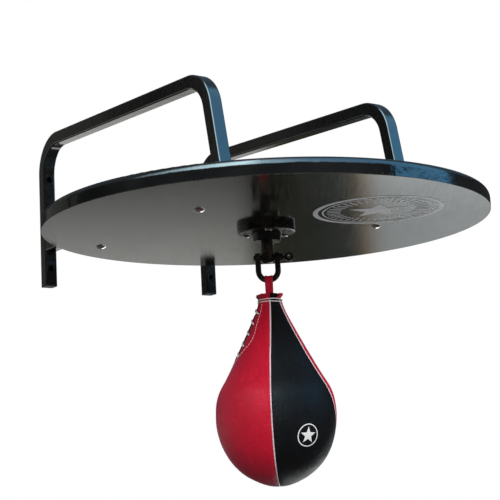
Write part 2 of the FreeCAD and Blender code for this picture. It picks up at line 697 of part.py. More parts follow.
LEFT = -FRAME_SPACING / 2
RIGHT = FRAME_SPACING / 2
NODES = {
    "left_hoop_tube": hoop_tube(LEFT),
    "right_hoop_tube": hoop_tube(RIGHT),
    "left_lower_arm": lower_arm(LEFT),
    "right_lower_arm": lower_arm(RIGHT),
    "left_weld_beads": weld_beads(LEFT),
    "right_weld_beads": weld_beads(RIGHT),
    "left_leg_plug": leg_plug(LEFT),
    "right_leg_plug": leg_plug(RIGHT),
    "left_arm_plug": arm_plug(LEFT),
    "right_arm_plug": arm_plug(RIGHT),
    "board_core": board_core(),
    "board_laminate": board_laminate(),
    "underside_emblem": underside_emblem(),
    "board_bolts": board_bolts(),
    "board_washers": board_washers(),
    "board_nuts": board_nuts(),
    "swivel_flange": swivel_flange(),
    "flange_screws": flange_screws(),
    "bearing_balls": bearing_balls(),
    "swivel_stem": swivel_stem(),
    "thrust_washer": thrust_washer(),
    "stem_nut": stem_nut(),
    "shackle_bow": shackle_bow(),
    "shackle_pin": shackle_pin(),
    "hanging_loop": hanging_loop(),
    "neck_filler": neck_filler(),
    "neck_collar": neck_collar(),
    "neck_tie": neck_tie(),
    "bag_panel_front_left": bag_panel(0),
    "bag_panel_front_right": bag_panel(1),
    "bag_panel_back_right": bag_panel(2),
    "bag_panel_back_left": bag_panel(3),
    "seam_piping": seam_piping(),
    "bag_lace": bag_lace(),
    "lace_tongue": lace_tongue(),
    "bladder": bladder(),
    "bladder_valve": bladder_valve(),
}

os.makedirs("parts", exist_ok=True)
for name, shape in NODES.items():
    shape.exportStep("parts/" + name + ".step")
    print(name, "solids", len(shape.Solids), "volume", round(shape.Volume, 1), "valid", shape.isValid())
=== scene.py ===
import json
from math import atan2, cos, degrees, exp, hypot, pi, radians, sin, sqrt

import bmesh
import bpy
import numpy as np
from mathutils import Matrix, Vector, noise
from mathutils.bvhtree import BVHTree


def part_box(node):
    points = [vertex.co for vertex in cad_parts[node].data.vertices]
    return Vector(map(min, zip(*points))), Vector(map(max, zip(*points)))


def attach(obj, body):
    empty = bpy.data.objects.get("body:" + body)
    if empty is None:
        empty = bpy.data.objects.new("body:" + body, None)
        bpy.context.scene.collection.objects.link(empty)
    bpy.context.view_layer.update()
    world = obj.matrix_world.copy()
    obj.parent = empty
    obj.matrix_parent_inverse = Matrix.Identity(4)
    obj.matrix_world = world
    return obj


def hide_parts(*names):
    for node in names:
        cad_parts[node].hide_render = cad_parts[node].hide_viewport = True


# Wall-mounted speed bag platform. Metres, in the row frame: X along the wall,
# the object reaches out towards -Y, Z is up.

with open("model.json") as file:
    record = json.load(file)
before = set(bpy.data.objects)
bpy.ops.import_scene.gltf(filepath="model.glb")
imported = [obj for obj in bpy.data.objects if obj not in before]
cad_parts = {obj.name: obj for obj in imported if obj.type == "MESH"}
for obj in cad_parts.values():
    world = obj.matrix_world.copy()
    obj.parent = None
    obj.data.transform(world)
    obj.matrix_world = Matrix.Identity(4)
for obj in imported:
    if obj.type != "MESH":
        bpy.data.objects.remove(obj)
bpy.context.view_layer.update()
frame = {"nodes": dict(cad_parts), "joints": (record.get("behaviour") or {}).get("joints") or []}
NODES = frame["nodes"]
JOINTS = {joint["name"]: joint for joint in frame["joints"]}
MM = 0.001
UP = Vector((0, 0, 1))


# ---- shader helpers

def new_material(name):
    """A material, its node tree, its principled shader and the object coordinates."""
    material = bpy.data.materials.new(name)
    material.use_nodes = True
    tree = material.node_tree
    return material, tree, tree.nodes["Principled BSDF"], object_coords(tree)


def add(tree, kind, inputs=None, **settings):
    """A node with its settings, whose inputs are given as values or as sockets to link."""
    node = tree.nodes.new("ShaderNode" + kind)
    for key, value in settings.items():
        setattr(node, key, value)
    for key, value in (inputs or {}).items():
        if isinstance(value, bpy.types.NodeSocket):
            tree.links.new(value, node.inputs[key])
        else:
            node.inputs[key].default_value = value
    return node


def object_coords(tree, scale=(1, 1, 1), turn=0.0):
    """Object coordinates, turned about Z and scaled."""
    source = add(tree, "TexCoord").outputs["Object"]
    turned = add(tree, "Mapping", {"Vector": source, "Rotation": (0, 0, turn)}).outputs[0]
    return add(tree, "Mapping", {"Vector": turned, "Scale": scale}).outputs[0]


def noise_of(tree, coords, scale, detail=3.0, roughness=0.5, distortion=0.0):
    """A noise value between 0 and 1."""
    inputs = {"Vector": coords, "Scale": scale, "Detail": detail, "Roughness": roughness,
              "Distortion": distortion}
    return add(tree, "TexNoise", inputs).outputs["Fac"]


def cracks_of(tree, coords, scale):
    """Distance from the nearest border between cells of the given scale."""
    inputs = {"Vector": coords, "Scale": scale}
    return add(tree, "TexVoronoi", inputs, feature="DISTANCE_TO_EDGE").outputs["Distance"]


def remap(tree, value, low, high, to_low=0, to_high=1, **settings):
    """Value from one range to another, clamped."""
    inputs = {"Value": value, "From Min": low, "From Max": high, "To Min": to_low, "To Max": to_high}
    return add(tree, "MapRange", inputs, **settings).outputs[0]


def calc(tree, operation, first, second):
    """One arithmetic step."""
    return add(tree, "Math", {0: first, 1: second}, operation=operation).outputs[0]


def scaled(tree, vector, factor):
    """A vector or a colour times a factor."""
    return add(tree, "VectorMath", {0: vector, "Scale": factor}, operation="SCALE").outputs[0]


def blend_colour(tree, share, first, second):
    """The first colour where share is 0, the second where it is 1."""
    node = tree.nodes.new("ShaderNodeMix")
    node.data_type = "RGBA"
    tree.links.new(share, node.inputs["Factor"])
    for socket, colour in ((node.inputs[6], first), (node.inputs[7], second)):
        if isinstance(colour, bpy.types.NodeSocket):
            tree.links.new(colour, socket)
        else:
            socket.default_value = (*colour, 1.0)
    return node.outputs[2]


def ramp(tree, value, low, high, stops):
    """Colour along a value that runs from low to high; stops are (value, colour)."""
    node = add(tree, "ValToRGB", {"Fac": remap(tree, value, low, high)})
    elements = node.color_ramp.elements
    elements.remove(elements[1])
    for number, (at, colour) in enumerate(stops):
        position = (at - low) / (high - low)
        element = elements.new(position) if number else elements[0]
        element.position = position
        element.color = (*colour, 1)
    return node.outputs["Color"]


def bump(tree, height, strength, distance, under=None):
    """A bump from a height value, on top of another one if given."""
    inputs = {"Height": height, "Strength": strength, "Distance": distance}
    if under is not None:
        inputs["Normal"] = under
    return add(tree, "Bump", inputs).outputs[0]


def wire(tree, shader, **links):
    """Links sockets to the shader's inputs by name."""
    for key, socket in links.items():
        tree.links.new(socket, shader.inputs[key.replace("_", " ")])


def put(shader, **values):
    """Sets constants on the shader's inputs by name."""
    for key, value in values.items():
        shader.inputs[key.replace("_", " ")].default_value = value


# ---- materials

def powder_coat():
    """Gloss black powder coat with light orange peel and a little dust."""
    material, tree, shader, coords = new_material("frame_paint")
    patch = noise_of(tree, coords, 9, 4, 0.6)
    dust = noise_of(tree, coords, 140, 5, 0.7)
    peel = noise_of(tree, coords, 420, 2, 0.4)
    wave = noise_of(tree, coords, 60, 2, 0.5)
    colour = blend_colour(tree, remap(tree, dust, 0.45, 0.8), (0.0045, 0.005, 0.0052),
                          (0.011, 0.0115, 0.011))
    gloss = calc(tree, "ADD", remap(tree, patch, 0.3, 0.7, 0.07, 0.16),
                 remap(tree, dust, 0.5, 0.8, 0, 0.08))
    relief = bump(tree, peel, 0.22, 0.0003, bump(tree, wave, 0.12, 0.0014))
    wire(tree, shader, Base_Color=colour, Roughness=gloss, Normal=relief)
    put(shader, IOR=1.55, Specular_IOR_Level=0.75, Coat_Weight=0.55, Coat_Roughness=0.05)
    return material


def moulded_plastic(name, colour, gloss):
    """Moulded plastic or rubber with a fine spark-eroded texture."""
    material, tree, shader, coords = new_material(name)
    grain = noise_of(tree, coords, 1500, 3, 0.6)
    patch = noise_of(tree, coords, 60, 3, 0.5)
    lighter = tuple(channel * 1.7 for channel in colour)
    wire(tree, shader, Base_Color=blend_colour(tree, remap(tree, patch, 0.35, 0.75), colour, lighter),
         Roughness=remap(tree, patch, 0.3, 0.7, gloss - 0.06, gloss + 0.08),
         Normal=bump(tree, grain, 0.35, 0.0002))
    return material


def board_paint():
    """Gloss black paint rolled over fibreboard: chipped along its lower edge, dusty on top."""
    material, tree, shader, coords = new_material("board_paint")
    height = add(tree, "SeparateXYZ", {0: coords}).outputs[2]
    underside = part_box("board_laminate")[1].z
    near_edge = remap(tree, height, underside, underside + 3.5 * MM, 1, 0)
    chips = remap(tree, noise_of(tree, coords, 260, 5, 0.7), 0.62, 0.66)
    worn = calc(tree, "MULTIPLY", near_edge, chips)
    roller = noise_of(tree, coords, 190, 3, 0.55)
    swell = noise_of(tree, coords, 34, 2, 0.5)
    dull = noise_of(tree, coords, 16, 5, 0.6)
    paint = blend_colour(tree, remap(tree, dull, 0.4, 0.75), (0.0045, 0.005, 0.0055),
                         (0.010, 0.011, 0.011))
    colour = blend_colour(tree, worn, paint, (0.115, 0.07, 0.038))
    gloss = calc(tree, "ADD", remap(tree, dull, 0.3, 0.75, 0.05, 0.13), calc(tree, "MULTIPLY", worn, 0.5))
    facing = add(tree, "SeparateXYZ", {0: add(tree, "NewGeometry").outputs["Normal"]}).outputs[2]
    dust = calc(tree, "MULTIPLY", remap(tree, facing, 0.97, 1.0),
                remap(tree, dull, 0.3, 0.7, 0.7, 1.0))
    colour = blend_colour(tree, dust, colour, (0.022, 0.021, 0.019))
    gloss = calc(tree, "ADD", gloss, calc(tree, "MULTIPLY", dust, 0.8))
    relief = bump(tree, roller, 0.26, 0.0005, bump(tree, swell, 0.2, 0.0035))
    wire(tree, shader, Base_Color=colour, Roughness=gloss, Normal=relief)
    put(shader, IOR=1.55, Specular_IOR_Level=1.0)
    return material


def laminate():
    """Dark grey laminate, semi-gloss, with a fine drawn-out grain."""
    material, tree, shader, plain = new_material("laminate")
    grain_turn = radians(36)
    streaks = object_coords(tree, (1, 0.03, 1), grain_turn)
    fine = noise_of(tree, streaks, 620, 4, 0.65)
    broad = noise_of(tree, streaks, 90, 3, 0.5)
    cloud = noise_of(tree, plain, 7, 4, 0.55)
    speck = noise_of(tree, plain, 900, 2, 0.5)
    dark = blend_colour(tree, remap(tree, broad, 0.3, 0.7), (0.011, 0.0115, 0.0098),
                        (0.026, 0.027, 0.0245))
    colour = blend_colour(tree, remap(tree, fine, 0.5, 0.74, 0, 0.85), dark, (0.06, 0.062, 0.058))
    gloss = calc(tree, "ADD", remap(tree, fine, 0.3, 0.7, 0.08, 0.15),
                 remap(tree, cloud, 0.35, 0.7, 0, 0.03))
    relief = bump(tree, fine, 0.12, 0.0002, bump(tree, speck, 0.08, 0.0001))
    wire(tree, shader, Base_Color=colour, Roughness=gloss, Normal=relief)
    put(shader, IOR=1.5, Specular_IOR_Level=0.55)
    return material


def screen_print(name, colour, pinholes):
    """Matt ink with pinholes and a weave of thin places."""
    material, tree, shader, coords = new_material(name)
    holes = remap(tree, noise_of(tree, coords, 900, 3, 0.6), 0.62, 0.72, 0, pinholes)
    thin = remap(tree, noise_of(tree, coords, 60, 3, 0.5), 0.4, 0.75, 0, 0.35)
    faded = tuple(channel * 0.62 for channel in colour)
    dark = tuple(channel * 0.2 for channel in colour)
    base = blend_colour(tree, thin, colour, faded)
    wire(tree, shader, Base_Color=blend_colour(tree, holes, base, dark),
         Roughness=remap(tree, thin, 0, 0.35, 0.38, 0.52),
         Normal=bump(tree, noise_of(tree, coords, 1400, 2, 0.5), 0.2, 0.0001))
    return material


def plated_steel(name, colour, tint, gloss, grain):
    """Bright plated or polished steel with fine scratches and faint blotches."""
    material, tree, shader, coords = new_material(name)
    scratches = noise_of(tree, object_coords(tree, (1, 0.08, 1), 0.6), grain, 3, 0.6)
    blotch = noise_of(tree, coords, 160, 4, 0.6)
    wire(tree, shader, Base_Color=blend_colour(tree, remap(tree, blotch, 0.45, 0.75), colour, tint),
         Roughness=remap(tree, scratches, 0.3, 0.7, gloss, gloss + 0.14),
         Normal=bump(tree, scratches, 0.15, 0.0001))
    put(shader, Metallic=1.0)
    return material


def worn_enamel():
    """Black enamel over cast and forged steel, rubbed through to brown in places."""
    material, tree, shader, coords = new_material("swivel_paint")
    cast = noise_of(tree, coords, 330, 5, 0.65)
    rub = noise_of(tree, coords, 55, 6, 0.7, 0.4)
    pits = noise_of(tree, coords, 1300, 2, 0.5)
    worn = remap(tree, rub, 0.5, 0.66)
    black = blend_colour(tree, remap(tree, cast, 0.35, 0.7), (0.006, 0.005, 0.0042),
                         (0.018, 0.0145, 0.011))
    colour = blend_colour(tree, worn, black, (0.05, 0.036, 0.024))
    gloss = calc(tree, "ADD", remap(tree, cast, 0.3, 0.7, 0.2, 0.34), calc(tree, "MULTIPLY", worn, 0.14))
    relief = bump(tree, cast, 0.35, 0.0006, bump(tree, pits, 0.2, 0.0002))
    wire(tree, shader, Base_Color=colour, Roughness=gloss, Normal=relief)
    put(shader, Specular_IOR_Level=0.42, Coat_Weight=0.1, Coat_Roughness=0.3)
    return material


def leather(name, colour, crease, gloss, level, sheen_tint=None):
    """Satin leather: pebbled grain with painted shade in its crevices, fine creases, uneven dye and a rubbed
    finish.
    """
    material, tree, shader, coords = new_material(name)
    drift = add(tree, "TexNoise", {"Vector": coords, "Scale": 240.0, "Detail": 2.0}).outputs["Color"]
    warped = add(tree, "VectorMath", {0: coords, 1: scaled(tree, drift, 0.0016)}).outputs[0]
    pebble = remap(tree, cracks_of(tree, warped, 780.0), 0.0, 0.22)
    wrinkle = remap(tree, cracks_of(tree, warped, 240.0), 0.0, 0.12)
    dye = noise_of(tree, coords, 22, 5, 0.6)
    scuff = noise_of(tree, coords, 75, 5, 0.7)
    mottled = blend_colour(tree, remap(tree, dye, 0.3, 0.72), colour, crease)
    # painted shade: the colour darkens towards the borders of the grain cells, in the crevices of the
    # pebbled grain
    crevice_shaded = blend_colour(tree, pebble, tuple(channel * 0.55 for channel in colour), mottled)
    rubbed = tuple(min(1.0, channel * 1.35 + 0.006) for channel in colour)
    finished = blend_colour(tree, remap(tree, scuff, 0.55, 0.8, 0, 0.55), crevice_shaded, rubbed)
    rough = calc(tree, "ADD", remap(tree, scuff, 0.3, 0.75, gloss - 0.05, gloss + 0.09),
                 remap(tree, pebble, 0, 1, 0.12, 0))
    relief = bump(tree, pebble, 0.30, 0.00022, bump(tree, wrinkle, 0.16, 0.00035))
    wire(tree, shader, Base_Color=finished, Roughness=rough, Normal=relief)
    put(shader, IOR=1.48, Specular_IOR_Level=level)
    if sheen_tint:
        put(shader, Sheen_Weight=0.25, Sheen_Roughness=0.45, Sheen_Tint=(*sheen_tint, 1.0))
    return material


def piping_cover():
    """White piping: thin vinyl over a cord, with the ridge of the cord showing through."""
    material, tree, shader, coords = new_material("white_piping")
    grain = noise_of(tree, coords, 700, 3, 0.6)
    soil = noise_of(tree, coords, 45, 4, 0.6)
    ridges = noise_of(tree, object_coords(tree, (1, 1, 0.45)), 900, 1, 0.4)
    wire(tree, shader,
         Base_Color=blend_colour(tree, remap(tree, soil, 0.45, 0.8), (0.80, 0.62, 0.67),
                                 (0.60, 0.36, 0.42)),
         Roughness=remap(tree, grain, 0.3, 0.7, 0.32, 0.48),
         Normal=bump(tree, ridges, 0.3, 0.0003))
    return material


def cord_fibre(name, clean, soiled):
    """Spun cotton cord: fine fibres and a little soil in the valleys."""
    material, tree, shader, coords = new_material(name)
    fibre = noise_of(tree, coords, 2600, 4, 0.7)
    soil = noise_of(tree, coords, 120, 4, 0.6)
    wire(tree, shader,
         Base_Color=blend_colour(tree, remap(tree, soil, 0.4, 0.8), clean, soiled),
         Roughness=remap(tree, fibre, 0.3, 0.7, 0.7, 0.95),
         Normal=bump(tree, fibre, 0.6, 0.0003))
    put(shader, Sheen_Weight=0.3, Sheen_Roughness=0.5)
    return material


SLOT_MATERIALS = {
    "frame_paint": powder_coat(),
    "plug_plastic": moulded_plastic("plug_plastic", (0.014, 0.014, 0.015), 0.42),
    "board_paint": board_paint(),
    "laminate": laminate(),
    "print_grey": screen_print("print_grey", (0.92, 0.94, 0.94), 0.25),
    "zinc": plated_steel("zinc", (0.74, 0.74, 0.72), (0.62, 0.58, 0.46), 0.16, 1800),
    "swivel_paint": worn_enamel(),
    "bearing_steel": plated_steel("bearing_steel", (0.8, 0.8, 0.82), (0.72, 0.72, 0.74), 0.05, 2600),
    "red_leather": leather("red_leather", (0.66, 0.008, 0.036), (0.52, 0.006, 0.022), 0.42, 0.42,
                           (1.0, 0.12, 0.3)),
    "black_leather": leather("black_leather", (0.0065, 0.0068, 0.0076), (0.010, 0.0102, 0.0112), 0.4, 0.28),
    "white_piping": piping_cover(),
    "white_cord": cord_fibre("white_cord", (0.85, 0.80, 0.79), (0.58, 0.50, 0.49)),
    "bladder_rubber": moulded_plastic("bladder_rubber", (0.035, 0.032, 0.03), 0.5),
}
NODE_SLOTS = {
    "frame_paint": ("left_hoop_tube", "right_hoop_tube", "left_lower_arm", "right_lower_arm"),
    "plug_plastic": ("left_leg_plug", "right_leg_plug", "left_arm_plug", "right_arm_plug"),
    "board_paint": ("board_core",),
    "laminate": ("board_laminate",),
    "print_grey": ("underside_emblem",),
    "zinc": ("board_bolts", "board_washers", "board_nuts", "flange_screws", "thrust_washer", "stem_nut"),
    "swivel_paint": ("swivel_flange", "swivel_stem", "shackle_bow", "shackle_pin"),
    "bearing_steel": ("bearing_balls",),
}
for slot_name, names in NODE_SLOTS.items():
    for name in names:
        NODES[name].data.materials.clear()
        NODES[name].data.materials.append(SLOT_MATERIALS[slot_name])


# ---- mesh helpers

def ripple_at(x, y, z):
    """Smooth noise between -1 and 1."""
    return noise.noise(Vector((x, y, z)))


def piece(name, verts, faces, slot, stands_for=(), material=None, body="bag"):
    """A mesh piece with outward normals that rides on a body."""
    mesh = bpy.data.meshes.new(name)
    mesh.from_pydata([tuple(v) for v in verts], [], faces)
    solid = bmesh.new()
    solid.from_mesh(mesh)
    bmesh.ops.remove_doubles(solid, verts=solid.verts, dist=1e-6)
    bmesh.ops.dissolve_degenerate(solid, edges=solid.edges, dist=1e-7)
    bmesh.ops.recalc_face_normals(solid, faces=solid.faces)
    solid.to_mesh(mesh)
    solid.free()
    mesh.materials.append(material or SLOT_MATERIALS[slot])
    mesh.shade_smooth()
    item = bpy.data.objects.new(name, mesh)
    bpy.context.scene.collection.objects.link(item)
    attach(item, body)
    if stands_for:
        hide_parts(*stands_for)
    return item


def sweep(path, section, closed=False, start_side=None):
    """Verts and faces of a section carried along a path.
    section(step) gives the (across, out) offsets at that step of the path."""
    path = [Vector(p) for p in path]
    count = len(path)
    tangents = []
    for i in range(count):
        before = path[i - 1] if closed or i else path[i]
        after = path[(i + 1) % count] if closed or i < count - 1 else path[i]
        tangents.append((after - before).normalized())
    side = Vector(start_side) if start_side else tangents[0].orthogonal()
    verts = []
    for i in range(count):
        side = (side - tangents[i] * side.dot(tangents[i])).normalized()
        out = tangents[i].cross(side)
        ring = section(i)
        verts += [path[i] + side * a + out * b for a, b in ring]
    width = len(section(0))
    faces = []
    for i in range(count if closed else count - 1):
        near, far = i * width, (i + 1) % count * width
        for k in range(width):
            n = (k + 1) % width
            faces.append((near + k, near + n, far + n, far + k))
    if not closed:
        faces += end_faces(width, count)
    return verts, faces


def circle(count):
    """Cosine and sine of evenly spaced angles."""
    angles = (2 * pi * k / count for k in range(count))
    return [(cos(a), sin(a)) for a in angles]


def end_faces(columns, rows):
    """The two faces that close a wrapped grid's first and last rows."""
    last = (rows - 1) * columns
    return [tuple(range(columns)), tuple(range(last, last + columns))]


def round_section(radius, sides=10, lobes=0, depth=0.0, twist=0.0):
    """A round section; lobes turn with each step and make a laid rope."""
    def ring(step):
        points = []
        for k in range(sides):
            angle = 2 * pi * k / sides
            here = radius(step) if callable(radius) else radius
            here *= 1 + depth * cos(lobes * angle + twist * step)
            points.append((here * cos(angle), here * sin(angle)))
        return points
    return ring


def joined(parts):
    """Several (verts, faces) pairs as one."""
    verts, faces = [], []
    for part_verts, part_faces in parts:
        base = len(verts)
        verts += part_verts
        faces += [tuple(base + i for i in face) for face in part_faces]
    return verts, faces


def grid_faces(rows, columns, wrap=False):
    """Quads of a grid stored row by row."""
    faces = []
    for i in range(rows - 1):
        for k in range(columns if wrap else columns - 1):
            n = (k + 1) % columns
            faces.append((i * columns + k, i * columns + n, (i + 1) * columns + n, (i + 1) * columns + k))
    return faces


def thicken(item, thickness, offset=-1.0):
    """Gives a sheet its thickness, with the result kept in the mesh."""
    modifier = item.modifiers.new("thickness", "SOLIDIFY")
    modifier.thickness = thickness
    modifier.offset = offset
    modifier.use_quality_normals = True
    apply_modifiers(item)


def apply_modifiers(item):
    """Replaces the mesh by what its modifiers make of it."""
    graph = bpy.context.evaluated_depsgraph_get()
    mesh = bpy.data.meshes.new_from_object(item.evaluated_get(graph))
    item.modifiers.clear()
    item.data = mesh


# ---- bag shape

stem_low, stem_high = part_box("swivel_stem")
AXIS = Vector(((stem_low.x + stem_high.x) / 2, (stem_low.y + stem_high.y) / 2, 0))
ALONG_PIN = Vector(JOINTS["shackle_swing"]["axis"]).normalized()
BACKWARD = Vector(JOINTS["bag_rock"]["axis"]).normalized()
BAG_PANELS = ["bag_panel_" + place for place in ("front_left", "front_right", "back_right", "back_left")]
NECK_Z = max(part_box(name)[1].z for name in BAG_PANELS)
BOTTOM_Z = min(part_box(name)[0].z for name in BAG_PANELS)
WAIST_Z = NECK_Z - 159 * MM
LEATHER = 1.6 * MM


def around(bearing, radius, z):
    """A point at a bearing in degrees from the bag's front, anticlockwise seen from above."""
    turn = radians(bearing)
    return AXIS + (ALONG_PIN * sin(turn) - BACKWARD * cos(turn)) * radius + UP * z


def bag_outline():
    """Arc length, radius and height of the bag's outer skin, from the CAD panel."""
    mesh = NODES["bag_panel_front_right"].data
    tree = BVHTree.FromPolygons([v.co for v in mesh.vertices], [tuple(p.vertices) for p in mesh.polygons])
    middle_bearing = 34.0
    centre = AXIS + UP * WAIST_Z
    first = atan2(15 * MM, NECK_Z - WAIST_Z)
    points = [(15.0 * MM, NECK_Z)]
    steps = 260
    for i in range(1, steps):
        angle = first + (pi - first) * i / steps
        ray = (around(middle_bearing, sin(angle), cos(angle)) - AXIS).normalized()
        hit = tree.ray_cast(centre + ray * 0.5, -ray)[0]
        if hit is not None:
            flat = Vector((hit.x - AXIS.x, hit.y - AXIS.y))
            points.append((flat.length, hit.z))
    points.append((0.0, BOTTOM_Z))
    radius = np.array([p[0] for p in points])
    height = np.array([p[1] for p in points])
    length = np.concatenate([[0], np.cumsum(np.hypot(np.diff(radius), np.diff(height)))])
    even = np.linspace(0, length[-1], 400)
    radius, height = np.interp(even, length, radius), np.interp(even, length, height)
    kernel = np.ones(9) / 9
    for values in (radius, height):
        values[4:-4] = np.convolve(values, kernel, "valid")
    radius[-1] = 0.0
    return even, radius, height


OUTLINE_S, OUTLINE_R, OUTLINE_Z = bag_outline()
SKIN_LENGTH = OUTLINE_S[-1]


def radius_at(s):
    return float(np.interp(s, OUTLINE_S, OUTLINE_R))


def height_at(s):
    return float(np.interp(s, OUTLINE_S, OUTLINE_Z))


def s_at_drop(drop_mm):
    """Arc length from the neck at a drop below the neck, in millimetres."""
    return float(np.interp(drop_mm * MM, NECK_Z - OUTLINE_Z, OUTLINE_S))


def ease(value, start, end):
    """0 before start, 1 after end, smooth between."""
    share = min(max((value - start) / (end - start), 0.0), 1.0)
    return share * share * (3 - 2 * share)


# bearing of each seam from the bag's front, by drop below the neck in mm
SEAM_TRACKS = (
    ((0, -76.0), (17, -73.5), (45, -74.0), (74, -77.0), (92, -82.0), (116, -88.0), (250, -88.0)),
    ((0, 0.0), (80, -4.0), (250, -4.0)),
    ((0, 62.0), (80, 67.0), (112, 69.5), (130, 72.5), (159, 81.0), (182, 89.0), (215, 94.0), (250, 96.0)),
    ((0, 172.0), (250, 172.0)),
)
SEAM_COUNT = len(SEAM_TRACKS)


def seam_bearing(number, s):
    """Where a seam runs: the seams draw together towards the front at the neck."""
    drops, bearings = zip(*SEAM_TRACKS[number])
    return float(np.interp((NECK_Z - height_at(s)) / MM, drops, bearings))


LACE_DROPS = (17.0, 31.0, 45.5, 60.0, 74.0)
LACE_FROM, LACE_TO = s_at_drop(9), s_at_drop(84)


def gap_half_width(s):
    """Half the opening of the laced seam: it gapes a little between the lacing and closes at its ends."""
    if not LACE_FROM < s < LACE_TO:
        return 0.0
    ends = ease(s, LACE_FROM, LACE_FROM + 8 * MM) * (1 - ease(s, LACE_TO - 10 * MM, LACE_TO))
    pull = min(abs(s - s_at_drop(drop)) for drop in LACE_DROPS)
    return ends * (0.9 + 0.7 * ease(pull, 1 * MM, 7 * MM)) * MM


def arc_gap(bearing, other, s):
    """Distance along the skin between two bearings."""
    difference = (bearing - other + 180) % 360 - 180
    return abs(radians(difference)) * radius_at(s)


def swell(bearing, s):
    """How far the skin stands off its outline: gores swell, seams sink, stitches pucker, the neck pleats."""
    radius = radius_at(s)
    drop = NECK_Z - height_at(s)
    distances = [arc_gap(bearing, seam_bearing(k, s), s) for k in range(SEAM_COUNT)]
    nearest = min(distances)
    number = distances.index(nearest)
    size = min(radius / (40 * MM), 1.0)
    fullness = 1 - exp(-nearest / (13 * MM))
    offset = 1.5 * MM * size * (fullness - 0.55)
    offset -= 1.0 * MM * size * exp(-(nearest / (2.6 * MM)) ** 2)
    pucker = sin(2 * pi * s / (6.5 * MM) + 2.1 * number + 1.5 * ripple_at(s * 60, number, 0))
    offset += 0.20 * MM * size * pucker * exp(-nearest / (4.5 * MM))
    turn = radians(bearing)
    pleat = ripple_at(3.4 * cos(turn), 3.4 * sin(turn), 4.0 + drop * 6)
    pleat += 0.5 * ripple_at(8.0 * cos(turn), 8.0 * sin(turn), 9.0)
    offset += 1.7 * MM * pleat * exp(-drop / (26 * MM))
    spot = around(bearing, radius, height_at(s))
    offset += 0.55 * MM * noise.noise(spot * 16) * size
    offset += 0.22 * MM * noise.noise(spot * 55 + Vector((3, 1, 7)))
    if number == 0 and LACE_FROM < s < LACE_TO:
        for drop_mm in LACE_DROPS:
            along = s - s_at_drop(drop_mm)
            offset -= 0.7 * MM * exp(-(along / (3.2 * MM)) ** 2 - ((nearest - 6 * MM) / (3.5 * MM)) ** 2)
    end = ease(s, SKIN_LENGTH - 16 * MM, SKIN_LENGTH - 2 * MM)
    return offset * (1 - end) - 0.6 * MM * end


def off_outline(bearing, s, off, least=0.0):
    """A point off the smooth outline, no nearer the axis than least."""
    step = 1.5 * MM
    run = Vector((radius_at(s + step) - radius_at(s - step), height_at(s + step) - height_at(s - step)))
    outward = Vector((-run.y, run.x)).normalized()
    return around(bearing, max(radius_at(s) + outward.x * off, least), height_at(s) + outward.y * off)


def skin(bearing, s, lift=0.0):
    """A point on the leather, lift metres outside it."""
    return off_outline(bearing, s, swell(bearing, s) + lift)


def tangent_point(bearing, s, right, down, lift=0.0):
    """A point on the skin, offset along it by right and down in metres."""
    radius = max(radius_at(s + down), 2 * MM)
    return skin(bearing + degrees(right / radius), s + down, lift)


# ---- bag panels

GORE_ROWS, GORE_COLUMNS = 250, 46
POLE_STOP = 2.5 * MM


def gore(number, name, slot):
    """One leather gore between two seams, closely cut to both."""
    verts = []
    after = (number + 1) % SEAM_COUNT
    for i in range(GORE_ROWS):
        s = (SKIN_LENGTH - POLE_STOP) * (i / (GORE_ROWS - 1))
        start = seam_bearing(number, s)
        end = seam_bearing(after, s)
        if end < start:
            end += 360
        radius = max(radius_at(s), 1 * MM)
        gap_start = gap_half_width(s) if number == 0 else 0.0
        gap_end = gap_half_width(s) if after == 0 else 0.0
        start += degrees((0.25 * MM + gap_start) / radius)
        end -= degrees((0.25 * MM + gap_end) / radius)
        for k in range(GORE_COLUMNS):
            share = k / (GORE_COLUMNS - 1)
            # the columns crowd towards the seams
            share -= 0.12 * sin(2 * pi * share) / (2 * pi) * 4
            verts.append(skin(start + (end - start) * share, s))
    panel = name.replace("leather_", "bag_panel_")
    thicken(piece(name, verts, grid_faces(GORE_ROWS, GORE_COLUMNS), slot, (panel,)), LEATHER)


gore(0, "leather_front_left", "red_leather")
gore(1, "leather_front_right", "black_leather")
gore(2, "leather_back_right", "red_leather")
gore(3, "leather_back_left", "black_leather")


def seam_pipe(number):
    """A length of piping along one seam, from under the tie to the pole."""
    first = LACE_TO - 3 * MM if number == 0 else 2 * MM
    steps = 220
    path = []
    for i in range(steps):
        s = first + (SKIN_LENGTH - 1.2 * MM - first) * i / (steps - 1)
        wobble = 0.12 * MM * ripple_at(s * 90, number * 5.0, 1.0)
        path.append(tangent_point(seam_bearing(number, s), s, wobble, 0, 0.25 * MM))
    return sweep(path, round_section(lambda i: (1.0 + 0.05 * sin(i * 1.9)) * MM, 10))


verts, faces = joined([seam_pipe(k) for k in range(SEAM_COUNT)])
piece("piping", verts, faces, "white_piping", ("seam_piping",))


# ---- lacing

def eyelet(side, drop_mm):
    """A small round hole's rolled rim beside the laced seam."""
    s = s_at_drop(drop_mm)
    bearing = seam_bearing(0, s)
    ring = [tangent_point(bearing, s + 3.6 * MM * side, (side * 7.2 + 3.0 + 1.5 * x) * MM, 1.5 * MM * y,
                          0.1 * MM) for x, y in circle(16)]
    return sweep(ring, round_section(0.42 * MM, 6), closed=True)


